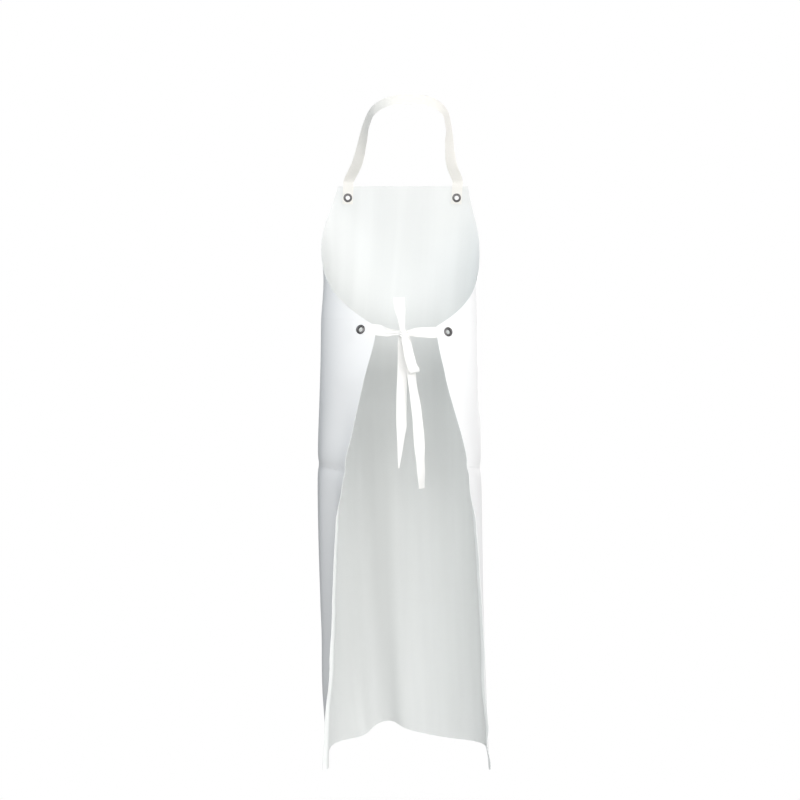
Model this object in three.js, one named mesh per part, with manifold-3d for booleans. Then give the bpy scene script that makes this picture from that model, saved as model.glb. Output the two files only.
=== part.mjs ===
import * as THREE from "three";
import { mergeVertices } from "three/addons/utils/BufferGeometryUtils.js";
import { RoundedBoxGeometry } from "three/addons/geometries/RoundedBoxGeometry.js";
import Module from "manifold-3d";

// Bib apron cut from one coated sheet, worn: bib on the chest, wings wrapped to the back.
// Millimetres. Origin on the neck tape where it rests on the nape, +Z up, wearer faces -Y.

// Flat pattern of the sheet (u across from the centre line, v up from the hem).
const APRON_WIDTH = 686;
const APRON_LENGTH = 1067;
const BIB_WIDTH = 250;
const SIDE_HEIGHT = 786;
const SHEET_THICKNESS = 0.5;
const ARMHOLE_PULL_IN = 0.175; // armhole curve handle: share of the step outside the bib edge
const ARMHOLE_PULL_UP = 0.366; // armhole curve handle: share of the armhole height

// How the sheet hangs on the wearer.
const BIB_DROP = 133; // nape to bib top edge
const FRONT_Y = -155; // front of the waist behind the bib, from the nape
const HEM_FOLD_DEPTH = 45;
const HEM_FOLD_WIDTH = 38;
const HEM_FOLD_ACROSS = 31;
const HEM_FOLD_RISE = 20;
const HEM_FOLD_HEIGHT = 520;

// Neck tape and waist ties.
const TAPE_WIDTH = 20;
const TAPE_THICKNESS = 0.8;
const NECK_HALF_WIDTH = 75;
const STRAP_LEAD = 7; // the tape leaves the bib edge straight for this far
const NECK_SLIDE = -12; // the tape sits a little to the wearer's right of the bib centre
const LEFT_TAIL_LENGTH = 232;
const RIGHT_TAIL_LENGTH = 268;
const UPPER_LOOP_HEIGHT = 56;
const LOWER_LOOP_LENGTH = 66;
const LOOP_LEAN = 1.5; // the leaning loop starts this much lower, clear of the knot
const KNOT_WIDTH = 15;
const KNOT_HEIGHT = 15;
const KNOT_DEPTH = 12;
const PINCH_SHARE = 0.18; // the knot gathers the first part of each tail
const POINT_START = 0.78; // the left tail narrows to its point from here

// Eyelets with their clamping washers.
const EYELET_FLANGE = 17;
const EYELET_BORE = 8.5;
const EYELET_WALL = 0.5;
const EYELET_CROWN = 1.2;
const WASHER_THICKNESS = 0.5;
const WASHER_LIP = 1.0;
const BIB_EYELET_ACROSS = 105; // from the centre line
const BIB_EYELET_DOWN = 22; // below the bib top edge
const LEFT_EYELET_IN = 29; // left waist eyelet, in from the side edge
const LEFT_EYELET_DOWN = 5; // below the waist corner
const RIGHT_EYELET_IN = 23; // right waist eyelet, hand-set a little nearer the edge
const RIGHT_EYELET_DOWN = 9;
const TAPE_END_MARGIN = 12; // tape beyond the eyelet centre

// Clearances between fitted pieces.
const FACE_GAP = 0.55;
const BORE_GAP = 0.35;
const JOINT_GAP = 0.6;
const SEAM_GAP = 2;

const SHEET_COLUMNS = 44;
const SKIRT_ROWS = 15;
const CORNER_ROWS = 3;
const CHEST_ROWS = 8;
const SEAT_FLAT = 27; // the sheet lies flat this far round an eyelet
const SEAT_BLEND = 26; // and returns to its curve over this much more
const TAPE_STEP = 10;
const ROUND_STEPS = 20;

const HALF = APRON_WIDTH / 2;
const ARMHOLE_HEIGHT = APRON_LENGTH - SIDE_HEIGHT;

// Plan sections of the worn sheet. bend, spread: where the front turns into the side and over
// what half length, as shares of the half width. wrap: further turn of the wing in degrees.
// front: how far ahead of the waist the centre stands. turn: how far the sheet has slid round
// the body. side: sideways offset of the whole section.
const SECTIONS = [
  { v: 0, bend: 0.43, spread: 0.13, wrap: 0.5, front: 2, turn: 0, side: -3 },
  { v: SIDE_HEIGHT * 0.34, bend: 0.4, spread: 0.22, wrap: 12, front: 6, turn: 3, side: 3 },
  { v: SIDE_HEIGHT * 0.68, bend: 0.384, spread: 0.306, wrap: 27, front: 8, turn: 7, side: 6 },
  { v: SIDE_HEIGHT * 0.89, bend: 0.367, spread: 0.344, wrap: 56, front: 2, turn: 11, side: 6 },
  { v: SIDE_HEIGHT, bend: 0.364, spread: 0.35, wrap: 73, front: 0, turn: 12, side: 6 },
  { v: SIDE_HEIGHT + ARMHOLE_HEIGHT * 0.5, bend: 0.38, spread: 0.36, wrap: 73, front: 14, turn: 5, side: 3 },
  { v: APRON_LENGTH, bend: 0.64, spread: 0.34, wrap: 60, front: 0, turn: 0, side: 0 },
];
const WRAP_CENTRE = 0.74 * HALF;
const WRAP_SPREAD = 0.277 * HALF;
const SECTION_STEPS = 90;

function smooth(t) {
  return THREE.MathUtils.smoothstep(t, 0, 1);
}

// Smooth curve through the section table for one of its columns.
function sectionValue(key, v) {
  const rows = SECTIONS;
  const last = rows.length - 1;
  let i = 0;
  while (i < last - 1 && v > rows[i + 1].v) i += 1;
  const slope = (j) => {
    const a = rows[Math.max(j - 1, 0)];
    const b = rows[Math.min(j + 1, last)];
    return (b[key] - a[key]) / (b.v - a.v);
  };
  const a = rows[i];
  const b = rows[i + 1];
  const span = b.v - a.v;
  const t = (v - a.v) / span;
  const rise = t * t * (3 - 2 * t);
  const inSlope = t * (1 - t) * (1 - t) * span * slope(i);
  const outSlope = t * t * (t - 1) * span * slope(i + 1);
  return a[key] + (b[key] - a[key]) * rise + inSlope + outSlope;
}

// Half width of the flat pattern at a height.
function halfWidth(v) {
  if (v <= SIDE_HEIGHT) return HALF;
  const top = BIB_WIDTH / 2;
  const handleU = top + (HALF - top) * ARMHOLE_PULL_IN;
  const handleV = ARMHOLE_HEIGHT * ARMHOLE_PULL_UP;
  const rise = Math.min(v - SIDE_HEIGHT, ARMHOLE_HEIGHT);
  const a = ARMHOLE_HEIGHT - 2 * handleV;
  const t = (Math.sqrt(handleV * handleV + a * rise) - handleV) / a;
  return (1 - t) * (1 - t) * HALF + 2 * t * (1 - t) * handleU + t * t * top;
}

// Turning angle of the plan section at arc length s from the front.
function turning(s, v) {
  const bend = sectionValue("bend", v) * HALF;
  const spread = sectionValue("spread", v) * HALF;
  const side = Math.sign(s) || 1;
  const a = Math.abs(s);
  const corner = (Math.PI / 2) * smooth((a - bend + spread) / (2 * spread));
  const wrap = THREE.MathUtils.degToRad(sectionValue("wrap", v));
  const wing = wrap * smooth((a - WRAP_CENTRE + WRAP_SPREAD) / (2 * WRAP_SPREAD));
  const fade = Math.max(0, 1 - v / HEM_FOLD_HEIGHT);
  const q = (s - HEM_FOLD_ACROSS) / HEM_FOLD_WIDTH;
  const depth = (2 * HEM_FOLD_DEPTH * fade * fade) / HEM_FOLD_WIDTH;
  const fold = Math.atan(depth * q * Math.exp(-q * q));
  return side * (corner + wing) + fold;
}

// Point of the freely curved sheet for a point (u, v) of the flat pattern.
function curved(u, v) {
  const s = u + sectionValue("turn", v);
  let x = 0;
  let y = 0;
  const step = s / SECTION_STEPS;
  for (let i = 0; i < SECTION_STEPS; i += 1) {
    const angle = turning((i + 0.5) * step, v);
    x += Math.cos(angle) * step;
    y += Math.sin(angle) * step;
  }
  const q = (s - HEM_FOLD_ACROSS) / HEM_FOLD_WIDTH;
  const fade = Math.max(0, 1 - v / HEM_FOLD_HEIGHT);
  const z = v - APRON_LENGTH - BIB_DROP + HEM_FOLD_RISE * fade * fade * Math.exp(-q * q);
  return new THREE.Vector3(
    x + sectionValue("side", v),
    y + FRONT_Y - sectionValue("front", v),
    z,
  );
}

// Position, along (u), up (v) and outward normal of a surface at (u, v).
function frameOf(surface, u, v) {
  const d = 0.5;
  const at = surface(u, v);
  const along = surface(u + d, v).sub(surface(u - d, v)).normalize();
  const up = surface(u, v + d).sub(surface(u, v - d)).normalize();
  const normal = new THREE.Vector3().crossVectors(along, up).normalize();
  return { at, along, up, normal };
}

// Eyelets: where each one sits on the pattern.
const EYELETS = {
  bib_left: { u: BIB_EYELET_ACROSS, v: APRON_LENGTH - BIB_EYELET_DOWN },
  bib_right: { u: -BIB_EYELET_ACROSS, v: APRON_LENGTH - BIB_EYELET_DOWN },
  waist_left: { u: HALF - LEFT_EYELET_IN, v: SIDE_HEIGHT - LEFT_EYELET_DOWN },
  waist_right: { u: RIGHT_EYELET_IN - HALF, v: SIDE_HEIGHT - RIGHT_EYELET_DOWN },
};
const SEATS = Object.values(EYELETS).map((where) => (
  { ...where, ...frameOf(curved, where.u, where.v) }
));

// Point of the worn sheet: the curve, pressed flat round each eyelet.
function drape(u, v) {
  const at = curved(u, v);
  for (const seat of SEATS) {
    const reach = Math.hypot(u - seat.u, v - seat.v);
    const press = 1 - smooth((reach - SEAT_FLAT) / SEAT_BLEND);
    if (press > 0) {
      const lift = at.clone().sub(seat.at).dot(seat.normal);
      at.addScaledVector(seat.normal, -lift * press);
    }
  }
  return at;
}

function drapeFrame(u, v) {
  return frameOf(drape, u, v);
}

const wasm = await Module();
wasm.setup();

function toManifold(geometry) {
  const bare = geometry.clone();
  bare.deleteAttribute("normal");
  bare.deleteAttribute("uv");
  const welded = mergeVertices(bare, 1e-4);
  return new wasm.Manifold(new wasm.Mesh({
    numProp: 3,
    vertProperties: new Float32Array(welded.attributes.position.array),
    triVerts: new Uint32Array(welded.index.array),
  }));
}

function toGeometry(solid) {
  const mesh = solid.getMesh();
  const geometry = new THREE.BufferGeometry();
  geometry.setAttribute("position", new THREE.BufferAttribute(mesh.vertProperties, 3));
  geometry.setIndex(new THREE.BufferAttribute(mesh.triVerts, 1));
  return geometry;
}

const group = new THREE.Group();
group.name = "butcher_apron";

function addPart(name, geometry, color, metalness, roughness) {
  const clean = geometry.clone();
  clean.deleteAttribute("normal");
  clean.deleteAttribute("uv");
  const flat = mergeVertices(clean, 1e-4).toNonIndexed();
  flat.computeVertexNormals();
  const material = new THREE.MeshStandardMaterial({ color, metalness, roughness });
  material.name = name;
  const mesh = new THREE.Mesh(flat, material);
  mesh.name = name;
  group.add(mesh);
}

// Move the vertices of a unit box grid through a mapping (a, b, c each -0.5 to 0.5).
function warpedBox(columns, rows, mapping) {
  const box = new THREE.BoxGeometry(1, 1, 1, columns, rows, 1);
  const position = box.attributes.position;
  for (let i = 0; i < position.count; i += 1) {
    const p = mapping(position.getX(i), position.getY(i), position.getZ(i));
    position.setXYZ(i, p.x, p.y, p.z);
  }
  // The back's cells split along the front's diagonals, so a thin twisted piece keeps its wall.
  const index = box.index.array;
  const back = box.groups[5];
  for (let i = back.start; i < back.start + back.count; i += 6) {
    const [a, b, d, , c] = index.slice(i, i + 6);
    index.set([a, b, c, a, c, d], i);
  }
  return box;
}

// Flat tape along a smooth curve; knots are { at, across } with across the width direction.
function tape(knots, width = () => TAPE_WIDTH) {
  const path = new THREE.CatmullRomCurve3(knots.map((k) => k.at), false, "centripetal");
  const across = new THREE.CatmullRomCurve3(knots.map((k) => k.across), false, "centripetal");
  const steps = Math.max(2, Math.ceil(path.getLength() / TAPE_STEP));
  return warpedBox(steps, 1, (a, b, c) => {
    const t = path.getUtoTmapping(a + 0.5);
    const tangent = path.getTangent(t).normalize();
    const side = across.getPoint(t);
    side.addScaledVector(tangent, -side.dot(tangent)).normalize();
    const normal = new THREE.Vector3().crossVectors(tangent, side);
    return path.getPoint(t)
      .addScaledVector(side, b * width(a + 0.5))
      .addScaledVector(normal, c * TAPE_THICKNESS);
  });
}

function vector(x, y, z) {
  return new THREE.Vector3(x, y, z);
}

function knot(at, across) {
  return { at, across };
}

const boreRadius = EYELET_BORE / 2;
const barrelRadius = boreRadius + EYELET_WALL;
const holeRadius = barrelRadius + BORE_GAP;
const flangeRadius = EYELET_FLANGE / 2;
const outerFace = SHEET_THICKNESS / 2 + FACE_GAP;
const tapeCentre = -SHEET_THICKNESS / 2 - FACE_GAP - TAPE_THICKNESS / 2;
const washerTop = tapeCentre - TAPE_THICKNESS / 2 - FACE_GAP;
const lipTop = washerTop - WASHER_THICKNESS - BORE_GAP;

// Matrix that takes +Z of a turned piece onto the outward normal at an eyelet.
function eyeletMatrix(where) {
  const frame = drapeFrame(where.u, where.v);
  const up = frame.up.clone();
  const along = new THREE.Vector3().crossVectors(up, frame.normal).normalize();
  const matrix = new THREE.Matrix4().makeBasis(along, up, frame.normal);
  matrix.setPosition(frame.at);
  return matrix;
}

// Closed ring turned from an outline of [radius, height] corners.
function ring(outline) {
  const points = outline.map(([r, h]) => new THREE.Vector2(r, h));
  points.push(points[0].clone());
  const lathe = new THREE.LatheGeometry(points, ROUND_STEPS);
  lathe.rotateX(Math.PI / 2);
  return lathe;
}

function eyeletOutline() {
  return [
    [boreRadius, lipTop - EYELET_WALL],
    [barrelRadius + WASHER_LIP, lipTop - EYELET_WALL],
    [barrelRadius + WASHER_LIP, lipTop],
    [barrelRadius, lipTop],
    [barrelRadius, outerFace],
    [flangeRadius, outerFace],
    [flangeRadius - 0.6, outerFace + EYELET_CROWN * 0.7],
    [flangeRadius - 2, outerFace + EYELET_CROWN],
    [boreRadius + 0.8, outerFace + EYELET_CROWN * 0.7],
    [boreRadius, outerFace],
  ];
}

function washerOutline() {
  return [
    [holeRadius, washerTop - WASHER_THICKNESS],
    [flangeRadius, washerTop - WASHER_THICKNESS],
    [flangeRadius, washerTop],
    [holeRadius, washerTop],
  ];
}

function punch(where) {
  const cutter = new THREE.CylinderGeometry(holeRadius, holeRadius, 12, ROUND_STEPS);
  cutter.rotateX(Math.PI / 2);
  cutter.applyMatrix4(eyeletMatrix(where));
  return toManifold(cutter);
}

// Turned rings may come out facing inwards; manifold reads the sign of the volume.
function outward(geometry) {
  const solid = toManifold(geometry);
  if (solid.volume() > 0) return geometry;
  const index = geometry.index.array;
  for (let i = 0; i < index.length; i += 3) {
    const first = index[i];
    index[i] = index[i + 1];
    index[i + 1] = first;
  }
  return geometry;
}

// Heights of the sheet's grid rows: even in the skirt and chest, one row each side of a seat.
function spaced(from, to, count) {
  return Array.from({ length: count }, (_, i) => from + ((to - from) * i) / count);
}
const waistSeat = EYELETS.waist_left.v;
const bibSeat = EYELETS.bib_left.v;
const rowHeights = [
  ...spaced(0, waistSeat - SEAT_FLAT, SKIRT_ROWS),
  waistSeat - SEAT_FLAT,
  ...spaced(SIDE_HEIGHT, waistSeat + SEAT_FLAT, CORNER_ROWS),
  ...spaced(waistSeat + SEAT_FLAT, bibSeat - SEAT_FLAT, CHEST_ROWS),
  bibSeat - SEAT_FLAT,
  APRON_LENGTH,
];

// The sheet: one thin solid through the drape, with the four punched holes.
const sheetGrid = warpedBox(SHEET_COLUMNS, rowHeights.length - 1, (a, b, c) => {
  const v = rowHeights[Math.round((b + 0.5) * (rowHeights.length - 1))];
  const frame = drapeFrame(2 * a * halfWidth(v), v);
  return frame.at.addScaledVector(frame.normal, c * SHEET_THICKNESS);
});
let sheet = toManifold(outward(sheetGrid));
for (const where of Object.values(EYELETS)) sheet = sheet.subtract(punch(where));
addPart("apron_sheet", toGeometry(sheet), 0xe9ebee, 0, 0.45);

for (const [name, where] of Object.entries(EYELETS)) {
  const matrix = eyeletMatrix(where);
  const eyelet = outward(ring(eyeletOutline())).applyMatrix4(matrix);
  addPart(`eyelet_${name}`, eyelet, 0xb9b6ae, 1, 0.3);
  const washer = outward(ring(washerOutline())).applyMatrix4(matrix);
  addPart(`washer_${name}`, washer, 0xb0aea8, 1, 0.35);
}

function punchedTape(geometry, where) {
  return toGeometry(toManifold(outward(geometry)).subtract(punch(where)));
}

// Tape lying against the inner face, at offset (du, dv) from an eyelet.
function innerKnot(where, du, dv, acrossIsUp, slack = 0) {
  const centre = drapeFrame(where.u + du, where.v + dv);
  const at = centre.at.clone().addScaledVector(centre.normal, tapeCentre - slack);
  return knot(at, acrossIsUp ? centre.up.clone() : centre.along.clone());
}

// Neck tape: two clamped ends inside the bib and the long loop over the nape.
const strapSeams = {};
for (const [name, sign] of [["left", 1], ["right", -1]]) {
  const where = EYELETS[`bib_${name}`];
  const upTo = BIB_EYELET_DOWN;
  const knots = [
    innerKnot(where, 0, -TAPE_END_MARGIN, false),
    innerKnot(where, 0, 0, false),
    innerKnot(where, 0, upTo, false),
  ];
  strapSeams[name] = [0, STRAP_LEAD].map((lead) => (
    innerKnot(where, 0, upTo + SEAM_GAP + lead, false)
  ));
  const aligned = knots.map((k) => knot(k.at, k.across.clone().multiplyScalar(sign)));
  addPart(`neck_strap_end_${name}`, punchedTape(tape(aligned), where), 0xf1f0ec, 0, 0.8);
}

const strapSide = [
  { out: 0.47, y: -4, z: -2, slide: 0.9, across: vector(0.1, -0.35, 0.94) },
  { out: 0.83, y: -25, z: -12, slide: 0.85, across: vector(0.25, -0.5, 0.85) },
  { out: 1.0, y: -60, z: -30, slide: 0.7, across: vector(0.45, -0.5, 0.75) },
  { out: 1.09, y: -95, z: -60, slide: 0.45, across: vector(0.75, -0.35, 0.5) },
  { out: 1.2, y: -125, z: -95, slide: 0.2, across: vector(0.95, -0.1, 0.2) },
];

function strapKnots(sign) {
  return strapSide.map((row) => knot(
    vector(sign * row.out * NECK_HALF_WIDTH + row.slide * NECK_SLIDE, row.y, row.z),
    vector(sign * row.across.x, row.across.y, row.across.z),
  ));
}

const strapPath = [
  ...strapSeams.left,
  ...strapKnots(1).reverse(),
  knot(vector(NECK_SLIDE, 0, 0), vector(0, -0.3, 0.95)),
  ...strapKnots(-1),
  ...strapSeams.right.map((k) => knot(k.at, k.across.clone().negate())).reverse(),
];
addPart("neck_strap", outward(tape(strapPath)), 0xf1f0ec, 0, 0.8);

// Bow at the centre of the back.
const tipLeft = drape(HALF, EYELETS.waist_left.v);
const tipRight = drape(-HALF, EYELETS.waist_right.v);
const bow = tipLeft.clone().add(tipRight).multiplyScalar(0.5).add(vector(6.9, 8.3, -5));
const bowKnot = new RoundedBoxGeometry(KNOT_WIDTH, KNOT_DEPTH, KNOT_HEIGHT, 3, 4);
bowKnot.translate(bow.x, bow.y, bow.z);
addPart("bow_knot", bowKnot, 0xf1f0ec, 0, 0.8);

const knotSide = KNOT_WIDTH / 2 + JOINT_GAP;
const knotTop = KNOT_HEIGHT / 2 + JOINT_GAP;

function tieRun(name, sign) {
  const where = EYELETS[`waist_${name}`];
  const start = innerKnot(where, -sign * TAPE_END_MARGIN, 0, true);
  const middle = innerKnot(where, 0, 0, true);
  const flatEnd = innerKnot(where, sign * EYELET_FLANGE, 0, true);
  const edge = innerKnot(where, sign * HALF + sign * 4 - where.u, -1, true, 1);
  const end = knot(bow.clone().add(vector(sign * knotSide, 0, 0)), vector(0, 0.1, 1));
  const beside = knot(bow.clone().add(vector(sign * (knotSide + 18), -1, 1)), vector(0, 0, 1));
  const knots = [start, middle, flatEnd, edge, beside, end];
  const narrow = (t) => TAPE_WIDTH * (1 - 0.45 * smooth((t - 0.72) / 0.28));
  return punchedTape(tape(knots, narrow), where);
}
addPart("waist_tie_left", tieRun("left", 1), 0xf1f0ec, 0, 0.8);
addPart("waist_tie_right", tieRun("right", -1), 0xf1f0ec, 0, 0.8);

// Upper loop: stands up from the knot, both layers of the tape.
const loopAcross = vector(1, 0, 0);
const upper = [
  [0, -2.2, knotTop],
  [1, -3.5, knotTop + 14],
  [3.5, -4.5, knotTop + UPPER_LOOP_HEIGHT * 0.7],
  [5, -2.5, knotTop + UPPER_LOOP_HEIGHT - 6],
  [5, 1.5, knotTop + UPPER_LOOP_HEIGHT - 2],
  [5, 4.5, knotTop + UPPER_LOOP_HEIGHT - 8],
  [3.5, 4, knotTop + UPPER_LOOP_HEIGHT * 0.6],
  [1, 3, knotTop + 14],
  [0, 2.2, knotTop],
].map(([x, y, z]) => knot(bow.clone().add(vector(x, y, z)), loopAcross.clone()));
const loopWidth = (t) => TAPE_WIDTH * (0.5 + 0.5 * smooth(Math.min(t, 1 - t) / 0.3));
addPart("bow_loop_upper", outward(tape(upper, loopWidth)), 0xf1f0ec, 0, 0.8);

// Lower loop: hangs from the knot to the wearer's right, turned half edge-on.
const lower = [
  [-8, 2.5, -knotTop - LOOP_LEAN],
  [-11, 4.5, -knotTop - 10],
  [-15, 6, -knotTop - LOWER_LOOP_LENGTH * 0.5],
  [-20, 6, -knotTop - LOWER_LOOP_LENGTH * 0.85],
  [-24, 8.5, -knotTop - LOWER_LOOP_LENGTH],
  [-23, 12, -knotTop - LOWER_LOOP_LENGTH * 0.9],
  [-17, 12, -knotTop - LOWER_LOOP_LENGTH * 0.5],
  [-12, 9, -knotTop - 10],
  [-8, 6, -knotTop - LOOP_LEAN],
].map(([x, y, z]) => knot(bow.clone().add(vector(x, y, z)), vector(0.75, 0.5, -0.2)));
addPart("bow_loop_lower", outward(tape(lower, loopWidth)), 0xf1f0ec, 0, 0.8);

// Tails: hang below the knot side by side, the left cut to a point, the right cut square.
// Track rows: share of the length, offsets from the knot, width direction.
function tail(length, track, widthAt) {
  const knots = track.map(([share, x, y, across]) => knot(
    bow.clone().add(vector(x, y, -knotTop - share * length)),
    across,
  ));
  return outward(tape(knots, widthAt));
}
const leftTrack = [
  [0, 3.5, -3, vector(1, 0, 0)],
  [0.2, 0.5, -3.5, vector(0.8, 0.6, 0)],
  [0.5, 3, -3.5, vector(0.9, 0.4, 0)],
  [0.75, 4.5, -3.5, vector(0.85, 0.5, 0)],
  [1, 7, -3, vector(0.8, 0.6, 0)],
];
const rightTrack = [
  [0, -8, -2, vector(1, 0, 0)],
  [0.3, -18, -1, vector(0.75, 0.65, 0)],
  [0.5, -25.5, -1, vector(0.87, 0.5, 0)],
  [0.7, -30, 0, vector(0.97, 0.25, 0)],
  [1, -34, 1, vector(0.55, 0.83, 0)],
];
const knotPinch = (t) => TAPE_WIDTH * (0.5 + 0.5 * smooth(t / PINCH_SHARE));
const leftWidth = (t) => knotPinch(t) * (1 - 0.85 * smooth((t - POINT_START) / (1 - POINT_START)));
addPart("tie_tail_left", tail(LEFT_TAIL_LENGTH, leftTrack, leftWidth), 0xf1f0ec, 0, 0.8);
addPart("tie_tail_right", tail(RIGHT_TAIL_LENGTH, rightTrack, knotPinch), 0xf1f0ec, 0, 0.8);

export default group;
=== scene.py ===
"""Worn butcher apron: coated sheet, neck tape, waist ties, eyelets and washers, laid out as an add-on."""

import math

import bmesh
import bpy
import numpy as np
from mathutils import Matrix, Vector


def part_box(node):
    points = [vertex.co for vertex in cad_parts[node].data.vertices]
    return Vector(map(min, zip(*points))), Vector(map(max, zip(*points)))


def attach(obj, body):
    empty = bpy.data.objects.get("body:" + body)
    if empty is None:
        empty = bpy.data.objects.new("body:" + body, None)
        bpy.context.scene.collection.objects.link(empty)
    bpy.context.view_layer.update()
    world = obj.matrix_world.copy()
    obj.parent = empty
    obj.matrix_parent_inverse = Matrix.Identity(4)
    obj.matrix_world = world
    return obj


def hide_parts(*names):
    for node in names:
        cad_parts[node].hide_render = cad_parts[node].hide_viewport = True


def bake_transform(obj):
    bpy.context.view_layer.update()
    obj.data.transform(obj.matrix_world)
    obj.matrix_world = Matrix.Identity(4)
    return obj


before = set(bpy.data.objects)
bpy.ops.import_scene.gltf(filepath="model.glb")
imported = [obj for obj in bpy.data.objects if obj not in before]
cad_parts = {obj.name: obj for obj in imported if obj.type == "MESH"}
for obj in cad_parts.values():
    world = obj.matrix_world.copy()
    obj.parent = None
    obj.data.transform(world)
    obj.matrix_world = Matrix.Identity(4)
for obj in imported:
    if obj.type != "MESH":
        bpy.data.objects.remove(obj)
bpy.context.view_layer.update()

bl_info = {
    "name": "Butcher apron",
    "version": (1, 0, 0),
    "blender": (4, 5, 0),
    "location": "3D View > Sidebar > Apron",
    "description": "Builds a worn bib apron of coated sheet with tape ties and eyelets",
    "category": "Add Mesh",
}

MM = 0.001

# Flat pattern of the sheet in millimetres: u across from the centre line, v up from the hem.
APRON_WIDTH = 686.0
APRON_LENGTH = 1067.0
BIB_WIDTH = 250.0
SIDE_HEIGHT = 786.0
ARMHOLE_PULL_IN = 0.175
ARMHOLE_PULL_UP = 0.366
HALF = APRON_WIDTH / 2
ARMHOLE_HEIGHT = APRON_LENGTH - SIDE_HEIGHT

# How the sheet hangs.
BIB_DROP = 133.0
FRONT_Y = -155.0
HEM_FOLD_DEPTH = 45.0
HEM_FOLD_WIDTH = 38.0
HEM_FOLD_ACROSS = 41.0
HEM_FOLD_RISE = 12.0
HEM_FOLD_HEIGHT = 520.0
# The hem also rises gently over this much either side of its fold.
HEM_RISE = 20.0
HEM_RISE_ACROSS = 12.0
HEM_RISE_WIDTH = 95.0
WRAP_CENTRE = 0.74 * HALF
WRAP_SPREAD = 0.277 * HALF

# Plan sections: height, front corner centre and half length (shares of the half width), wing
# wrap in degrees, front offset, slide round the body, sideways offset.
SECTIONS = np.array([
    (0, 0.43, 0.13, 0.5, 2, 0, -3),
    (SIDE_HEIGHT * 0.34, 0.4, 0.22, 12, 6, 3, 3),
    (SIDE_HEIGHT * 0.68, 0.384, 0.306, 27, 8, 7, 6),
    (SIDE_HEIGHT * 0.89, 0.367, 0.344, 56, 2, 11, 6),
    (SIDE_HEIGHT, 0.364, 0.35, 73, 0, 12, 6),
    (SIDE_HEIGHT + ARMHOLE_HEIGHT * 0.5, 0.38, 0.36, 73, 14, 5, 3),
    (APRON_LENGTH, 0.64, 0.34, 60, 0, 0, 0),
], float)
BEND, SPREAD, WRAP, FRONT, TURN, SIDE = range(1, 7)
SECTION_STEPS = 90

# Eyelets and tapes, fitted to each other.
SHEET_THICKNESS = 0.5
TAPE_WIDTH = 20.0
TAPE_THICKNESS = 0.8
FACE_GAP = 0.55
EYELET_BORE = 4.25
HOLE_RADIUS = 5.1
HOLE_SIDES = 48
PUNCH_DEPTH = 12.0
BIB_EYELET = (105.0, APRON_LENGTH - 22.0)
EYELETS = {
    "bib_left": BIB_EYELET,
    "bib_right": (-BIB_EYELET[0], BIB_EYELET[1]),
    "waist_left": (HALF - 29.0, SIDE_HEIGHT - 5.0),
    "waist_right": (23.0 - HALF, SIDE_HEIGHT - 9.0),
}
SEAT_FLAT = 11.0
SEAT_BLEND = 17.0
OUTER_FACE = SHEET_THICKNESS / 2 + 0.15
TAPE_CENTRE = -SHEET_THICKNESS / 2 - FACE_GAP - TAPE_THICKNESS / 2
WASHER_TOP = TAPE_CENTRE - TAPE_THICKNESS / 2 - 0.1
EYELET_FOOT = 0.75
TAPE_END_MARGIN = 12.0
NECK_HALF_WIDTH = 75.0
NECK_SLIDE = -12.0
LEFT_TAIL_LENGTH = 232.0
RIGHT_TAIL_LENGTH = 268.0
UPPER_LOOP_HEIGHT = 56.0


# ---------------------------------------------------------------- the worn surface

def smooth(t):
    """0 below 0, 1 above 1, eased between them."""
    t = np.clip(t, 0, 1)
    return t * t * (3 - 2 * t)


def section_value(column, v):
    """Smooth curve through one column of the section table."""
    x, y = SECTIONS[:, 0], SECTIONS[:, column]
    last = len(x) - 1
    before = np.maximum(np.arange(last + 1) - 1, 0)
    after = np.minimum(np.arange(last + 1) + 1, last)
    slope = (y[after] - y[before]) / (x[after] - x[before])
    i = np.clip(np.searchsorted(x, v, side="left") - 1, 0, last - 1)
    span = x[i + 1] - x[i]
    t = (v - x[i]) / span
    curve = y[i] + (y[i + 1] - y[i]) * t * t * (3 - 2 * t)
    curve = curve + t * (1 - t) ** 2 * span * slope[i]
    return curve + t * t * (t - 1) * span * slope[i + 1]


def half_width(v):
    """Half width of the flat pattern at a height."""
    top = BIB_WIDTH / 2
    handle_u = top + (HALF - top) * ARMHOLE_PULL_IN
    handle_v = ARMHOLE_HEIGHT * ARMHOLE_PULL_UP
    rise = np.clip(np.asarray(v, float) - SIDE_HEIGHT, 0, ARMHOLE_HEIGHT)
    a = ARMHOLE_HEIGHT - 2 * handle_v
    t = (np.sqrt(handle_v ** 2 + a * rise) - handle_v) / a
    return (1 - t) ** 2 * HALF + 2 * t * (1 - t) * handle_u + t * t * top


def hem_fade(v):
    """1 at the hem, falling to 0 where its fold ends."""
    return np.clip(1 - v / HEM_FOLD_HEIGHT, 0, None) ** 2


def turning(s, v):
    """Turning angle of the plan section at arc length s from the front."""
    bend = section_value(BEND, v) * HALF
    spread = section_value(SPREAD, v) * HALF
    a = np.abs(s)
    corner = np.pi / 2 * smooth((a - bend + spread) / (2 * spread))
    wing = np.radians(section_value(WRAP, v)) * smooth((a - WRAP_CENTRE + WRAP_SPREAD) / (2 * WRAP_SPREAD))
    q = (s - HEM_FOLD_ACROSS) / HEM_FOLD_WIDTH
    fold = np.arctan(2 * HEM_FOLD_DEPTH / HEM_FOLD_WIDTH * hem_fade(v) * q * np.exp(-q * q))
    return np.where(s < 0, -1, 1) * (corner + wing) + fold


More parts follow.
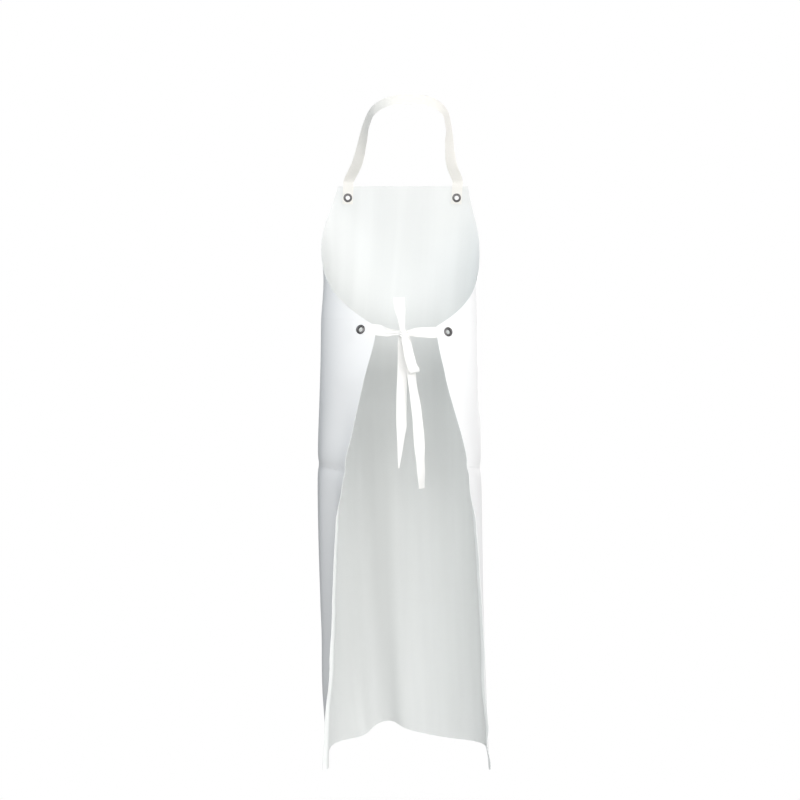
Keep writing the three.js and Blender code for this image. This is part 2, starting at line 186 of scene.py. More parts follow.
def curved(u, v):
    """Points of the freely curved sheet, in millimetres."""
    u, v = np.broadcast_arrays(np.asarray(u, float), np.asarray(v, float))
    s = u + section_value(TURN, v)
    x, y = np.zeros(s.shape), np.zeros(s.shape)
    for i in range(SECTION_STEPS):
        angle = turning((i + 0.5) / SECTION_STEPS * s, v)
        x += np.cos(angle) * s / SECTION_STEPS
        y += np.sin(angle) * s / SECTION_STEPS
    q = (s - HEM_FOLD_ACROSS) / HEM_FOLD_WIDTH
    broad = (s - HEM_RISE_ACROSS) / HEM_RISE_WIDTH
    rise = HEM_FOLD_RISE * np.exp(-q * q) + HEM_RISE * np.exp(-broad * broad)
    z = v - APRON_LENGTH - BIB_DROP + rise * hem_fade(v)
    return np.stack([x + section_value(SIDE, v), y + FRONT_Y - section_value(FRONT, v), z], -1)


def unit(a):
    return a / np.linalg.norm(a, axis=-1, keepdims=True)


def frame_of(surface, u, v):
    """Points, and unit directions along u, up v and outward, of a surface."""
    d = 0.5
    along = unit(surface(u + d, v) - surface(u - d, v))
    up = unit(surface(u, v + d) - surface(u, v - d))
    return surface(u, v), along, up, unit(np.cross(along, up))


SEATS = [(u, v, *frame_of(curved, np.float64(u), np.float64(v))) for u, v in EYELETS.values()]


def seat_press(u, v):
    """1 where an eyelet holds the sheet flat, falling to 0 away from it."""
    held = np.zeros(np.broadcast(u, v).shape)
    for seat_u, seat_v, *_ in SEATS:
        reach = np.hypot(u - seat_u, v - seat_v)
        held = np.maximum(held, 1 - smooth((reach - SEAT_FLAT) / SEAT_BLEND))
    return held


# Packing creases across the sheet: height, lift, width, and how much shows mid-front and at the sides.
CREASES = ((267.0, 0.9, 13.0, 0.2, 0.4), (533.0, -4.8, 9.0, 0.1, 1.0), (800.0, 0.6, 14.0, 0.3, 0.3))
CREASE_WANDER = 5.0
CREASE_WAVE = 90.0
FRONT_HALF = 150.0
FRONT_BLEND = 90.0
# One short crease low on the front: across, half length, height, width, lift.
SHORT_CREASE = (-75.0, 22.0, 272.0, 6.0, -2.0)
# Soft upright folds of the front: place across, depth, width, bottom height, top height.
UPRIGHT_FOLDS = (
    (68.0, 8.0, 25.0, -60.0, 640.0),
    (4.0, -3.0, 22.0, -40.0, 600.0),
    (-34.0, 2.0, 20.0, 60.0, 560.0),
    (-72.0, -1.6, 24.0, 0.0, 620.0),
    (96.0, -2.4, 18.0, -60.0, 560.0),
)
FOLD_WANDER = 4.0
FOLD_WAVE = 140.0
FOLD_FOOT = 90.0
FOLD_TOP = 160.0
# Slackness of the cloth: share, wave length across, wave length up, phase.
SLACK_WAVES = (
    (1.0, 47.0, 205.0, 0.0),
    (0.8, 71.0, -133.0, 1.7),
    (0.6, 160.0, 88.0, 0.6),
    (0.35, 23.0, 61.0, 0.0),
)
SLACK = 0.45
# Ripples of the side edges low down, and a frill at the foot of the right one.
RIPPLE_REACH = 20.0
RIPPLE_TOP = 420.0
RIPPLE_FADE = 300.0
FRILL_LIFT = 1.6
FRILL_WAVE = 9.5
FRILL_TOP = 130.0
FRILL_FADE = 80.0
# How far the back edges lean in: height, left, right.
EDGE_LEAN = np.array([
    (0, 6.5, 3),
    (60, 9.7, 5),
    (124, 14, 7),
    (180, 18.3, 4.5),
    (230, 17.7, 2.1),
    (300, 17, 0.5),
    (371, 17.5, -0.6),
    (425, 18, 0.2),
    (478, 15.2, -1.3),
    (531, 12, -7.3),
    (595, 12.3, -5.5),
    (690, 2, 0),
    (770, 0, 0),
], float)
EDGE_LEAN_REACH = 95.0
# Outward flare of the left side low down.
FLARE = 4.5
FLARE_ACROSS = 160.0
FLARE_SPREAD = 50.0
FLARE_TOP = 110.0
FLARE_FADE = 130.0
# Outward curl of the side edges; it fades out upwards, and at the foot of the right edge.
EDGE_CURL = 9.0
EDGE_CURL_REACH = 15.0
CURL_TOP = 505.0
CURL_FADE = 70.0
RIGHT_CURL_SHARE = 0.25
RIGHT_CURL_FOOT = 10.0
RIGHT_CURL_FADE = 150.0


def crease(distance, lift, width):
    """Ridge with a sharp top and slack sides."""
    return lift * np.exp(-np.sqrt(distance ** 2 + 1.0) / width)


def creases(u, v):
    """Lift of the packing creases and the short crease."""
    h = np.zeros(np.broadcast(u, v).shape)
    outer = smooth((np.abs(u) - FRONT_HALF) / FRONT_BLEND)
    for at, lift, width, middle, side in CREASES:
        share = middle + (side - middle) * outer
        h = h + crease(v - at - CREASE_WANDER * np.sin(u / CREASE_WAVE), lift, width) * share
    across, length, height, width, lift = SHORT_CREASE
    return h + crease(v - height, lift, width) * np.exp(-((u - across) / length) ** 2)


def upright_folds(u, v):
    """Lift of the soft folds that run up the front."""
    h = np.zeros(np.broadcast(u, v).shape)
    for across, depth, width, low, high in UPRIGHT_FOLDS:
        q = (u - across + FOLD_WANDER * np.sin(v / FOLD_WAVE + across)) / width
        foot = smooth((v - low + FOLD_FOOT) / (2 * FOLD_FOOT))
        top = 1 - smooth((v - high + FOLD_TOP) / (2 * FOLD_TOP))
        h = h + depth * np.exp(-q * q) * foot * top
    return h


def ripples(u, v, inside):
    """Lift of the ripples along the side edges, inside being the distance in from the edge."""
    ripple = 1.2 * np.sin(v / 31.0 + 0.9 * np.sign(u)) + 0.9 * np.sin(v / 17.0 + 2.0)
    frill = (u < 0) * FRILL_LIFT * np.sin(v / FRILL_WAVE) * smooth((FRILL_TOP - v) / FRILL_FADE)
    edge = np.exp(-inside / RIPPLE_REACH) * (v < SIDE_HEIGHT)
    return edge * (ripple + frill) * smooth((RIPPLE_TOP - v) / RIPPLE_FADE)


def edge_shape(u, v, inside):
    """Lift of the curled lip and the flare, less the lean of the back edges."""
    foot = RIGHT_CURL_SHARE + (1 - RIGHT_CURL_SHARE) * smooth((v - RIGHT_CURL_FOOT) / RIGHT_CURL_FADE)
    rolled = smooth((CURL_TOP - v) / CURL_FADE) * np.where(u > 0, 1.0, foot)
    near = np.clip(1 - inside / EDGE_CURL_REACH, 0, 1)
    height, left, right = EDGE_LEAN.T
    lean = np.where(u > 0, np.interp(v, height, left), np.interp(v, height, right))
    lean = lean * smooth((EDGE_LEAN_REACH - inside) / (EDGE_LEAN_REACH - EDGE_CURL_REACH))
    flare = FLARE * smooth((u - FLARE_ACROSS) / FLARE_SPREAD) * (1 - smooth((v - FLARE_TOP) / FLARE_FADE))
    return rolled * EDGE_CURL * near ** 2 - lean + flare


def relief(u, v):
    """Small outward lift of the cloth, in millimetres: none where an eyelet holds it flat."""
    slack = sum(share * np.sin(u / across + v / up + phase) for share, across, up, phase in SLACK_WAVES)
    inside = half_width(v) - np.abs(u)
    h = creases(u, v) + upright_folds(u, v) + SLACK * slack
    h = h + ripples(u, v, inside) + edge_shape(u, v, inside)
    return h * (1 - seat_press(u, v))


def worn(u, v):
    """Points of the finished sheet's middle surface, in millimetres."""
    u, v = np.broadcast_arrays(np.asarray(u, float), np.asarray(v, float))
    at, _, _, normal = frame_of(curved, u, v)
    at = at + normal * relief(u, v)[..., None]
    for seat_u, seat_v, centre, _, _, facing in SEATS:
        reach = np.hypot(u - seat_u, v - seat_v)
        press = 1 - smooth((reach - SEAT_FLAT) / SEAT_BLEND)
        lift = (at - centre) @ facing
        at = at - facing * (lift * press)[..., None]
    return at


# ---------------------------------------------------------------- shader graphs

class Wire:
    """A socket that adds Math nodes as it is used in an expression."""

    def __init__(self, graph, socket):
        self.graph, self.socket = graph, socket

    def _math(self, operation, *values):
        return self.graph.node("ShaderNodeMath", {"operation": operation}, dict(enumerate(values)))

    def __add__(self, other):
        return self._math("ADD", self, other)

    def __radd__(self, other):
        return self._math("ADD", other, self)

    def __sub__(self, other):
        return self._math("SUBTRACT", self, other)

    def __rsub__(self, other):
        return self._math("SUBTRACT", other, self)

    def __mul__(self, other):
        return self._math("MULTIPLY", self, other)

    def __rmul__(self, other):
        return self._math("MULTIPLY", other, self)

    def __truediv__(self, other):
        return self._math("DIVIDE", self, other)

    def sin(self):
        return self._math("SINE", self)

    def abs(self):
        return self._math("ABSOLUTE", self)

    def fraction(self):
        return self._math("FRACT", self)

    def at_least(self, other):
        return self._math("MAXIMUM", self, other)

    def ramp(self, low, high):
        """0 below low, 1 above high, smooth between them."""
        return self.graph.node(
            "ShaderNodeMapRange", {"interpolation_type": "SMOOTHSTEP"},
            {"Value": self, "From Min": low, "From Max": high},
        )


class Graph:
    """A node tree of a material or of the studio's air, with one way to add a node."""

    def __init__(self, name, made=None):
        self.material = made or bpy.data.materials.new(name)
        self.material.use_nodes = True
        self.tree = self.material.node_tree
        self.shader = next((n for n in self.tree.nodes if n.type == "BSDF_PRINCIPLED"), None)

    def node(self, kind, settings=None, inputs=None, out=0):
        made = self.tree.nodes.new(kind)
        for key, value in (settings or {}).items():
            setattr(made, key, value)
        self.feed(made, inputs or {})
        return Wire(self, made.outputs[out])

    def feed(self, made, inputs):
        for key, value in inputs.items():
            if isinstance(value, Wire):
                self.tree.links.new(value.socket, made.inputs[key])
            else:
                made.inputs[key].default_value = value

    def finish(self, **inputs):
        self.feed(self.shader, {k.replace("_", " "): v for k, v in inputs.items()})
        return self.material

    def mix(self, factor, a, b):
        return self.node(
            "ShaderNodeMix", {"data_type": "RGBA"}, {"Factor": factor, 6: a, 7: b}, out=2,
        )

    def uv(self, name):
        vector = self.node("ShaderNodeUVMap", {"uv_map": name})
        split = self.node("ShaderNodeSeparateXYZ", None, {0: vector})
        return vector, split, Wire(self, split.socket.node.outputs[1])

    def noise(self, vector, scale, detail=2.0, roughness=0.5):
        return self.node(
            "ShaderNodeTexNoise", None,
            {"Vector": vector, "Scale": scale, "Detail": detail, "Roughness": roughness},
        )

    def bump(self, height, distance, strength=1.0, normal=None):
        inputs = {"Height": height, "Distance": distance, "Strength": strength}
        if normal is not None:
            inputs["Normal"] = normal
        return self.node("ShaderNodeBump", None, inputs)


# Darker line along a crease, and its soft edge, in metres either side.
CREASE_LINE = (0.0002, 0.0024)
# Painted shade: a darker upright band of the inner face, in metres: place across, where it fades to each
# side, and upwards.
SHADE_BAND_ACROSS = 0.033
SHADE_BAND_EDGE = (0.008, 0.036)
SHADE_BAND_HEIGHTS = (0.35, 0.62)
# Painted light: a paler strip inside each side edge, where light catches the inner face: how far in it
# ends, with its soft edge, in millimetres.
LIT_STRIP_WIDTH = 6.0
LIT_STRIP_EDGE = 2.0


def shade(colour, factor):
    """A colour made lighter or darker, with alpha."""
    return tuple(min(1.0, c * factor) for c in colour[:3]) + (1.0,)


def crease_mask(u, v):
    """1 along the packing creases, fainter across the front, for the darker line drawn along them."""
    outer = u.abs().ramp(FRONT_HALF * MM, (FRONT_HALF + FRONT_BLEND) * MM)
    mask = 0.0
    for at, _, _, middle, side in CREASES:
        wander = (u / (CREASE_WAVE * MM)).sin() * (CREASE_WANDER * MM)
        line = 1 - (v - at * MM - wander).abs().ramp(*CREASE_LINE)
        mask = line * (outer * (side - middle) + middle) + mask
    return mask


def coated_material(settings):
    """Smooth coated face: satin, a little mottled, duller along the packing creases."""
    g = Graph("coated_face")
    uv, u, v = g.uv("cut")
    cloud = g.noise(uv, 7.0, 3.0)
    smear = g.noise(uv, 38.0, 4.0, 0.6)
    crease_line = crease_mask(u, v) * g.noise(uv, 90.0, 2.0).ramp(0.35, 0.62)
    colour = settings.outer_colour
    tone = g.mix(cloud.ramp(0.3, 0.75), shade(colour, 1.0), shade(colour, 0.972))
    tone = g.mix(crease_line * 0.55, tone, shade(colour, 0.86))
    grain = g.noise(uv, 1500.0, 2.0, 0.5) + g.noise(uv, 420.0, 1.0) * 0.6
    orange_peel = g.noise(uv, 120.0, 2.0)
    normal = g.bump(grain, 0.00006, 0.45)
    normal = g.bump(orange_peel + crease_line * 0.3, 0.00025, 0.25, normal)
    rough = settings.outer_roughness + (smear - 0.5) * 0.16 + crease_line * 0.12
    return g.finish(
        Base_Color=tone, Roughness=rough, Normal=normal, Coat_Weight=0.12, Coat_Roughness=0.28,
        Specular_IOR_Level=0.5,
    )


def backing_material(settings):
    """Fine plain-woven backing seen on the inner face and at the cut edge."""
    g = Graph("woven_backing")
    uv, u, v = g.uv("cut")
    pitch = settings.backing_pitch
    wander = g.noise(uv, 60.0, 2.0) * 0.25
    warp = (u * (2 * math.pi / pitch) + wander).sin()
    weft = (v * (2 * math.pi / pitch) + wander).sin()
    cell = warp * weft
    thread = (u * (math.pi / pitch)).sin().abs() * 0.5 + (v * (math.pi / pitch)).sin().abs() * 0.5
    cloud = g.noise(uv, 5.0, 3.0)
    stretched = g.node("ShaderNodeMapping", None, {"Vector": uv, "Scale": (30.0, 1.6, 1.0)})
    streak = g.noise(stretched, 1.0, 3.0)
    crease_line = crease_mask(u, v)
    colour = settings.inner_colour
    tone = g.mix(cell.ramp(-0.6, 0.6), shade(colour, 0.95), shade(colour, 1.0))
    tone = g.mix(cloud.ramp(0.3, 0.75) * 0.5, tone, shade(colour, 0.95))
    tone = g.mix(streak.ramp(0.35, 0.7) * 0.45, tone, shade(colour, 1.05))
    tone = g.mix(crease_line * 0.35, tone, shade(colour, 0.88))
    # Painted shade: an upright band low on the inner face darkened, standing in for a fold's shaded side.
    painted_shade_band = (1 - (u - SHADE_BAND_ACROSS).abs().ramp(*SHADE_BAND_EDGE)) * (1 - v.ramp(*SHADE_BAND_HEIGHTS))
    tone = g.mix(painted_shade_band * 0.8, tone, shade(colour, 0.86))
    # Painted light: the inner face made paler along each side edge.
    painted_light_strip = u.abs().ramp((HALF - LIT_STRIP_WIDTH - LIT_STRIP_EDGE) * MM, (HALF - LIT_STRIP_WIDTH) * MM)
    tone = g.mix(painted_light_strip, tone, shade(colour, 1.18))
    normal = g.bump(cell * 0.5 + thread, 0.00012, 0.5)
    normal = g.bump(crease_line, 0.0003, 0.2, normal)
    rough = 0.68 + (cloud - 0.5) * 0.12
    return g.finish(Base_Color=tone, Roughness=rough, Normal=normal, Specular_IOR_Level=0.35)


def tape_material(settings):
    """Herringbone cotton tape with a denser selvedge; the UV map runs along and across it."""
    g = Graph("cotton_tape")
    uv, along, across = g.uv("tape")
    pitch = settings.weave_pitch
    half = settings.width / 2
    zigzag = ((across / (settings.width / 4)).fraction() - 0.5).abs() * (settings.width / 4)
    twill = ((along + zigzag * 1.6) * (2 * math.pi / pitch)).sin()
    cords = (across * (2 * math.pi / (pitch * 0.62))).sin()
    edge = across.abs().ramp(half - 0.0018, half - 0.0011)
    picks = (along * (2 * math.pi / (pitch * 0.8))).sin()
    weave = (twill * 0.7 + cords * 0.3) * (1 - edge) + picks * edge
    fuzz = g.noise(uv, 2600.0, 2.0, 0.6)
    cloud = g.noise(uv, 26.0, 3.0)
    colour = settings.colour
    tone = g.mix(weave.ramp(-0.9, 0.5), shade(colour, 0.9), shade(colour, 1.0))
    tone = g.mix(cloud.ramp(0.35, 0.75) * 0.5, tone, shade(colour, 0.95))
    tone = g.mix(edge * 0.4, tone, shade(colour, 1.03))
    normal = g.bump(weave + fuzz * 0.4, 0.00005, 0.5)
    return g.finish(
        Base_Color=tone, Roughness=0.86 + (fuzz - 0.5) * 0.1, Normal=normal,
        Sheen_Weight=0.25, Sheen_Roughness=0.5, Specular_IOR_Level=0.25,
    )


def metal_material(name, colour, polish):
    """Nickel plating, finely scratched, with painted shade that darkens the throat and the rim where a
    point attribute says.
    """
    g = Graph(name)
    place = g.node("ShaderNodeTexCoord", None, None, out=3)
    cloud = g.noise(place, 260.0, 3.0)
    speck = g.noise(place, 2400.0, 2.0, 0.7)
    tone = g.mix(cloud.ramp(0.35, 0.75), shade(colour, 1.0), shade(colour, 0.78))
    tone = g.mix(speck.ramp(0.66, 0.72) * 0.5, tone, shade(colour, 0.5))
    painted_shade_mask = g.node("ShaderNodeAttribute", {"attribute_name": "painted_shade"}, None, out=2)
    # Painted shade: the throat and the rim darkened nearly to black, standing in for their shadow.
    tone = g.mix(painted_shade_mask * 0.85, tone, shade(colour, 0.16))
    normal = g.bump(speck, 0.00004, 0.25)
    rough = polish + (cloud - 0.5) * 0.18 + painted_shade_mask * 0.2
    return g.finish(Base_Color=tone, Roughness=rough, Metallic=1.0, Normal=normal)


# ---------------------------------------------------------------- mesh helpers

def deselect():
    for chosen in bpy.context.selected_objects:
        chosen.select_set(False)


def activate(obj):
    deselect()
    obj.select_set(True)
    bpy.context.view_layer.objects.active = obj


def apply_modifiers(obj):
    activate(obj)
    for modifier in list(obj.modifiers):
        bpy.ops.object.modifier_apply(modifier=modifier.name)


def add_modifier(obj, kind, **settings):
    modifier = obj.modifiers.new(kind.title(), kind)
    for key, value in settings.items():
        setattr(modifier, key, value)
    return modifier


def mesh_object(name, points, faces, uvs, uv_name):
    """A mesh object from points in millimetres; uvs are one pair per point, in metres."""
    mesh = bpy.data.meshes.new(name)
    mesh.from_pydata([tuple(p) for p in np.asarray(points, float) * MM], [], [tuple(f) for f in faces])
    mesh.update()
    layer = mesh.uv_layers.new(name=uv_name)
    index = np.zeros(len(mesh.loops), int)
    mesh.loops.foreach_get("vertex_index", index)
    layer.data.foreach_set("uv", np.asarray(uvs, np.float32)[index].ravel())
    obj = bpy.data.objects.new(name, mesh)
    bpy.context.scene.collection.objects.link(obj)
    return obj


def face_outwards(obj, merge=0.0):
    """Merges points closer than merge, and turns every face outwards."""
    edit = bmesh.new()
    edit.from_mesh(obj.data)
    if merge:
        bmesh.ops.remove_doubles(edit, verts=edit.verts, dist=merge)
    bmesh.ops.recalc_face_normals(edit, faces=edit.faces)
    edit.to_mesh(obj.data)
    edit.free()


def smooth_faces(obj, degrees=40.0):
    activate(obj)
    bpy.ops.object.shade_smooth_by_angle(angle=math.radians(degrees))


def seat_matrix(name):
    """Places +Z of a turned piece on the outward normal of an eyelet's seat, in metres."""
    u, v = EYELETS[name]
    seat = next(s for s in SEATS if s[0] == u and s[1] == v)
    _, _, at, _, up, normal = seat
    across = np.cross(up, normal)
    matrix = Matrix([list(a) + [0.0] for a in (across, up, normal)] + [[0.0, 0.0, 0.0, 1.0]]).transposed()
    matrix.translation = Vector(at * MM)
    return matrix


def punch_holes(obj, names):
    """Cuts the eyelet holes through a thin piece."""
    for name in names:
        deselect()
        bpy.ops.mesh.primitive_cylinder_add(
            vertices=HOLE_SIDES, radius=HOLE_RADIUS * MM, depth=PUNCH_DEPTH * MM,
        )
        punch = bpy.context.object
        punch.matrix_world = seat_matrix(name)
        add_modifier(obj, "BOOLEAN", operation="DIFFERENCE", object=punch, solver="EXACT")
        apply_modifiers(obj)
        bpy.data.objects.remove(punch)


# ---------------------------------------------------------------- tapes

CURVE_STEPS = 40
ACROSS_STEPS = 12
# The woven edge of a tape: how much thicker, where on the half width, and how broad.
SELVEDGE = 0.22
SELVEDGE_AT = 0.9
SELVEDGE_WIDTH = 0.07
# Limpness of a tape: how far it cups and tilts, in millimetres, and how often along it.
CUP = 0.35
CUP_WAVE = 21.0
TILT = 0.25
TILT_WAVE = 9.0
PLEAT_TURNS = 1.1
GATHERED_THICKNESS = 0.6
POINT_LENGTH = 74.0
POINT_SHARE = 0.1
KNOT_EDGE = 8.1
Z_UP = np.array((0.0, 0.05, 1.0))
X_RIGHT = np.array((-1.0, 0.0, 0.0))


def rounded_path(points, step):
    """Centripetal curve through points at even steps: its points, places among the knots, and lengths."""
    points = np.asarray(points, float)
    padded = np.vstack([2 * points[0] - points[1], points, 2 * points[-1] - points[-2]])
    samples, places = [], []
    for i in range(1, len(padded) - 2):
        p0, p1, p2, p3 = padded[i - 1:i + 3]
        t0 = 0.0
        t1 = np.linalg.norm(p1 - p0) ** 0.5
        t2 = t1 + np.linalg.norm(p2 - p1) ** 0.5
        t3 = t2 + np.linalg.norm(p3 - p2) ** 0.5
        for k in np.linspace(0, 1, CURVE_STEPS, endpoint=i == len(padded) - 3):
            t = t1 + (t2 - t1) * k
            a1 = (t1 - t) / (t1 - t0) * p0 + (t - t0) / (t1 - t0) * p1
            a2 = (t2 - t) / (t2 - t1) * p1 + (t - t1) / (t2 - t1) * p2
            a3 = (t3 - t) / (t3 - t2) * p2 + (t - t2) / (t3 - t2) * p3
            b1 = (t2 - t) / (t2 - t0) * a1 + (t - t0) / (t2 - t0) * a2
            b2 = (t3 - t) / (t3 - t1) * a2 + (t - t1) / (t3 - t1) * a3
            samples.append((t2 - t) / (t2 - t1) * b1 + (t - t1) / (t2 - t1) * b2)
            places.append(i - 1 + k)
    samples, places = np.array(samples), np.array(places)
    run = np.concatenate([[0], np.cumsum(np.linalg.norm(np.diff(samples, axis=0), axis=1))])
    even = np.linspace(0, run[-1], max(8, int(run[-1] / step)) + 1)
    path = np.stack([np.interp(even, run, samples[:, k]) for k in range(3)], -1)
    return path, np.interp(even, run, places), even


def blend_rows(rows, places):
    """Values of the knots at places along them, eased from knot to knot."""
    rows = np.asarray(rows, float)
    i = np.clip(places.astype(int), 0, len(rows) - 2)
    t = smooth(places - i)
    if rows.ndim == 1:
        return rows[i] * (1 - t) + rows[i + 1] * t
    return rows[i] * (1 - t)[:, None] + rows[i + 1] * t[:, None]


def ribbon(name, knots, step=2.2, taper=None):
    """Woven tape through knots of (point, across, width share, pleat); closed, with cut ends."""
    path, places, run = rounded_path([k[0] for k in knots], step)
    tangent = unit(np.gradient(path, axis=0))
    across = blend_rows([k[1] for k in knots], places)
    across = unit(across - tangent * np.sum(across * tangent, -1, keepdims=True))
    normal = np.cross(tangent, across)
    share = blend_rows([k[2] for k in knots], places)
    pleat = blend_rows([k[3] for k in knots], places)
    cut = np.zeros(len(run))
    if taper is not None:
        narrowed = taper(run, run[-1])
        cut = -share * (1 - narrowed)
        share = share * narrowed
    b = np.linspace(-1, 1, ACROSS_STEPS + 1)
    rows = len(path)
    sides = []
    edge = np.sqrt(np.clip(1 - np.abs(b) ** 14, 0.02, 1))
    selvedge = 1 + SELVEDGE * np.exp(-((np.abs(b) - SELVEDGE_AT) / SELVEDGE_WIDTH) ** 2)
    wave = np.cos(b * math.tau * PLEAT_TURNS)[None, :] * pleat[:, None]
    limp = CUP * np.sin(run / CUP_WAVE)[:, None] * b[None, :] ** 2
    limp = limp + TILT * np.sin(run / TILT_WAVE + 1.0)[:, None] * b[None, :]
    width = TAPE_WIDTH / 2 * (share[:, None] * b[None, :] + cut[:, None])
    middle = path[:, None, :] + across[:, None, :] * width[..., None]
    for face in (1, -1):
        lift = face * TAPE_THICKNESS / 2 * edge * selvedge
        thick = GATHERED_THICKNESS + (1 - GATHERED_THICKNESS) * share[:, None]
        out = lift[None, :] * thick + wave + limp * share[:, None]
        sides.append(middle + normal[:, None, :] * out[..., None])
    n = ACROSS_STEPS + 1
    ring = np.concatenate([sides[0], sides[1][:, ::-1, :]], axis=1)
    count = 2 * n
    points = ring.reshape(-1, 3)
    reach = np.concatenate([b, b[::-1]]) * TAPE_WIDTH / 2 * MM
    uvs = np.stack([np.repeat(run * MM, count), np.tile(reach, rows)], -1)
    faces = []
    for r in range(rows - 1):
        for c in range(count):
            d = (c + 1) % count
            faces.append((r * count + c, r * count + d, (r + 1) * count + d, (r + 1) * count + c))
    for c in range(n - 1):
        faces.append((c + 1, c, count - 1 - c, count - 2 - c))
        base = (rows - 1) * count
        faces.append((base + c, base + c + 1, base + count - 2 - c, base + count - 1 - c))
    obj = mesh_object(name, points, faces, uvs, "tape")
    face_outwards(obj)
    return obj, path


def inner_knot(name, du, dv, upright, slack=0.0):
    """Tape lying against the inner face, du and dv from an eyelet."""
    u, v = EYELETS[name]
    at, along, up, normal = frame_of(worn, np.float64(u + du), np.float64(v + dv))
    return at + normal * (TAPE_CENTRE - slack), (up if upright else along), 1.0, 0.0


def bow_centre():
    """Middle of the knot, from the CAD knot's box."""
    low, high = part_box("bow_knot")
    return np.array((low + high) / 2) / MM


def places_from(centre):
    """A function that gives the point x, y, z away from a centre."""
    return lambda x, y, z: centre + np.array((x, y, z), float)


def left_tie_knots(bow):
    """The left tie: clamp, run, once round the knot, upper loop and pointed tail."""
    at = places_from(bow)
    top, low = KNOT_EDGE, -KNOT_EDGE
    return [
        inner_knot("waist_left", -TAPE_END_MARGIN, 0, True),
        inner_knot("waist_left", 0, 0, True),
        inner_knot("waist_left", 17, 0, True),
        inner_knot("waist_left", 33, -1, True, 1.0),
        (at(27, -1, 1), Z_UP, 0.76, 0.4),
        (at(17, 0.4, 0.6), Z_UP, 0.55, 0.6),
        (at(8, 4.6, 0.2), Z_UP, 0.44, 0.7),
        (at(0, 6.4, 0.4), Z_UP, 0.42, 0.7),
        (at(-5.5, 3.6, 1.0), Z_UP, 0.44, 0.6),
        (at(-6.0, -2.5, 1.0), Z_UP, 0.46, 0.6),
        (at(-1.5, -5.0, 2.0), np.array((-0.5, 0, 1)), 0.48, 0.6),
        (at(0.5, -4.2, top), X_RIGHT, 0.46, 0.6),
        (at(1.6, -4.6, top + 14), X_RIGHT, 0.64, 0.5),
        (at(4.2, -5.0, top + UPPER_LOOP_HEIGHT * 0.62), X_RIGHT, 0.94, 0.2),
        (at(6, -2.5, top + UPPER_LOOP_HEIGHT - 6), X_RIGHT, 1.0, 0.0),
        (at(6, 1.5, top + UPPER_LOOP_HEIGHT - 2), X_RIGHT, 1.0, 0.0),
        (at(6, 4.5, top + UPPER_LOOP_HEIGHT - 8), X_RIGHT, 1.0, 0.0),
        (at(4.6, 4.8, top + UPPER_LOOP_HEIGHT * 0.62), X_RIGHT, 0.96, 0.1),
        (at(1.8, 4.4, top + 15), X_RIGHT, 0.64, 0.4),
        (at(0.5, 3.0, top), X_RIGHT, 0.46, 0.6),
        (at(0.6, 1.6, 0), X_RIGHT, 0.45, 0.6),
        (at(1.4, -1.0, low), X_RIGHT, 0.62, 0.6),
        (at(-0.4, -2.6, low - 14), np.array((-0.95, -0.25, 0)), 0.94, 0.2),
        (at(-0.6, -3.4, low - 0.16 * LEFT_TAIL_LENGTH), np.array((-0.9, -0.4, 0)), 1.0, 0.0),
        (at(0.8, -3.5, low - 0.35 * LEFT_TAIL_LENGTH), np.array((-0.88, -0.45, 0)), 1.0, 0.0),
        (at(1.8, -3.5, low - 0.6 * LEFT_TAIL_LENGTH), np.array((-0.9, -0.4, 0)), 1.0, 0.0),
        (at(0.8, -3.5, low - 0.8 * LEFT_TAIL_LENGTH), np.array((-0.85, -0.5, 0)), 1.0, 0.0),
        (at(-1.0, -3, low - LEFT_TAIL_LENGTH), np.array((-0.85, -0.5, 0)), 1.0, 0.0),
    ]


